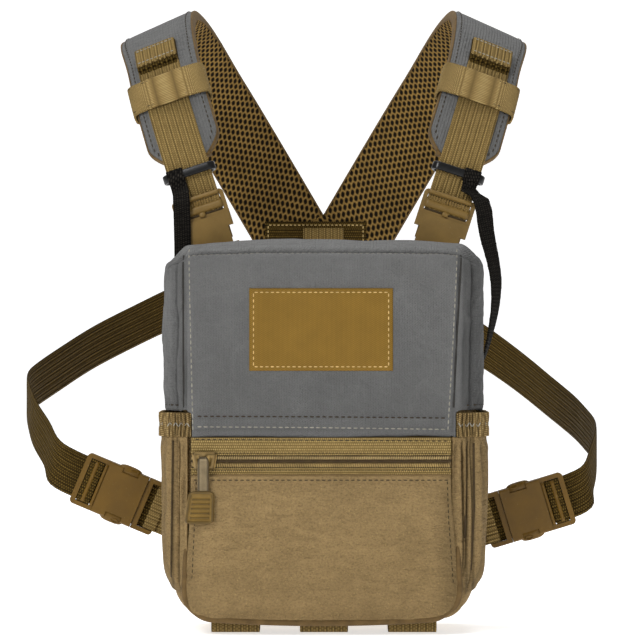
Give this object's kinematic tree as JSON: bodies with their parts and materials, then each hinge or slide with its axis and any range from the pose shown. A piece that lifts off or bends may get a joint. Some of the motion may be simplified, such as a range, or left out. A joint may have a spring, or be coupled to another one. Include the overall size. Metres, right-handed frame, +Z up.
{
  "type": "binocular harness pack",
  "caption": "Soft chest pack for binoculars with a fold-down lid, zipped front pocket, side pockets and a padded over-shoulder harness with side-release buckles.",
  "frame": {"origin": "on the rear face of the back panel, on its centre line, half way up the pack", "axes": "+X to the right as seen from the front, -Y to the front of the pack, +Y to the wearer, +Z up"},
  "size_m": [0.3391, 0.3292, 0.3618],
  "materials": {
    "foam": "soft closed-cell foam",
    "mesh": "spacer mesh",
    "brown_fabric": "light nylon, crinkled",
    "grey_fabric": "brushed softshell",
    "label": "woven satin",
    "elastic": "ribbed elastic",
    "zipper_tape": "twill",
    "coil": "moulded coil",
    "slider_metal": "semi-gloss",
    "pull_rubber": "moulded, ridged",
    "buckle": "moulded acetal",
    "tan_webbing": "flat webbing",
    "dark_webbing": "ribbed webbing",
    "ring_metal": "black, semi-gloss",
    "black_webbing": "flat webbing"
  },
  "bodies": {
    "pack": {"back_panel_mesh": "mesh", "back_panel_pad": "foam", "bottom_loop_centre": "tan_webbing", "bottom_loop_left": "tan_webbing", "bottom_loop_right": "tan_webbing", "front_pocket": "brown_fabric", "keeper_band_left": "elastic", "keeper_band_right": "elastic", "main_shell": "brown_fabric", "pocket_band_left": "elastic", "pocket_band_right": "elastic", "shoulder_cover_left": "grey_fabric", "shoulder_cover_right": "grey_fabric", "shoulder_female_left": "buckle", "shoulder_female_right": "buckle", "shoulder_foam_left": "foam", "shoulder_foam_right": "foam", "shoulder_male_left": "buckle", "shoulder_male_right": "buckle", "shoulder_mesh_left": "mesh", "shoulder_mesh_right": "mesh", "shoulder_tab_left": "tan_webbing", "shoulder_tab_right": "tan_webbing", "shoulder_webbing_left": "tan_webbing", "shoulder_webbing_right": "tan_webbing", "side_male_left": "buckle", "side_male_right": "buckle", "side_pocket_left": "brown_fabric", "side_pocket_right": "brown_fabric", "side_strap_left": "dark_webbing", "side_strap_right": "dark_webbing", "side_tab_left": "dark_webbing", "side_tab_right": "dark_webbing", "tether_left": "black_webbing", "tether_right": "black_webbing", "tether_ring_left": "ring_metal", "tether_ring_right": "ring_metal", "webbing_block_left": "tan_webbing", "webbing_block_right": "tan_webbing", "yoke_cover": "brown_fabric", "yoke_foam": "foam", "yoke_loop": "tan_webbing", "yoke_mesh": "mesh", "zipper_coil_lower": "coil", "zipper_coil_upper": "coil", "zipper_tape_lower": "zipper_tape", "zipper_tape_upper": "zipper_tape"},
    "lid": {"lid_cover": "grey_fabric", "label_patch": "label"},
    "zip_slider": {"zipper_slider": "slider_metal"},
    "zip_pull": {"zipper_pull_link": "slider_metal", "zipper_pull_grip": "pull_rubber"},
    "side_buckle_left": {"side_female_left": "buckle", "side_wrap_left": "dark_webbing"},
    "side_prong_left_upper": {"side_prong_left_upper": "buckle"},
    "side_prong_left_lower": {"side_prong_left_lower": "buckle"},
    "side_buckle_right": {"side_female_right": "buckle", "side_wrap_right": "dark_webbing"},
    "side_prong_right_upper": {"side_prong_right_upper": "buckle"},
    "side_prong_right_lower": {"side_prong_right_lower": "buckle"}
  },
  "joints": [
    {"name": "lid_hinge", "type": "hinge", "parent": "pack", "child": "lid", "pos_m": [0, -0.0845, -0.0031], "axis": [1, 0, 0], "range_deg": [0, 105]},
    {"name": "zip_slide", "type": "slide", "parent": "pack", "child": "zip_slider", "axis": [1, 0, 0], "range_m": [0, 0.131]},
    {"name": "zip_pull_swing", "type": "hinge", "parent": "zip_slider", "child": "zip_pull", "pos_m": [-0.0672, -0.0912, -0.016], "axis": [-1, 0, 0], "range_deg": [0, 70]},
    {"name": "side_release_left", "type": "slide", "parent": "pack", "child": "side_buckle_left", "axis": [-0.9219, 0, 0.3875], "range_m": [0, 0.024]},
    {"name": "squeeze_left_upper", "type": "hinge", "parent": "pack", "child": "side_prong_left_upper", "pos_m": [-0.10309, -0.005, -0.03521], "axis": [0, -1, 0], "range_deg": [0, 7], "stiffness_Nm_per_rad": 0.2},
    {"name": "squeeze_left_lower", "type": "hinge", "parent": "pack", "child": "side_prong_left_lower", "pos_m": [-0.11077, -0.005, -0.05346], "axis": [0, 1, 0], "range_deg": [0, 7], "stiffness_Nm_per_rad": 0.2},
    {"name": "side_release_right", "type": "slide", "parent": "pack", "child": "side_buckle_right", "axis": [0.9568, 0, 0.2907], "range_m": [0, 0.024]},
    {"name": "squeeze_right_upper", "type": "hinge", "parent": "pack", "child": "side_prong_right_upper", "pos_m": [0.10294, -0.005, -0.04313], "axis": [0, 1, 0], "range_deg": [0, 7], "stiffness_Nm_per_rad": 0.2},
    {"name": "squeeze_right_lower", "type": "hinge", "parent": "pack", "child": "side_prong_right_lower", "pos_m": [0.1087, -0.005, -0.06207], "axis": [0, -1, 0], "range_deg": [0, 7], "stiffness_Nm_per_rad": 0.2}
  ],
  "couplings": [
    {"joint": "squeeze_left_lower", "follows": "squeeze_left_upper", "ratio": 1},
    {"joint": "squeeze_right_lower", "follows": "squeeze_right_upper", "ratio": 1}
  ]
}
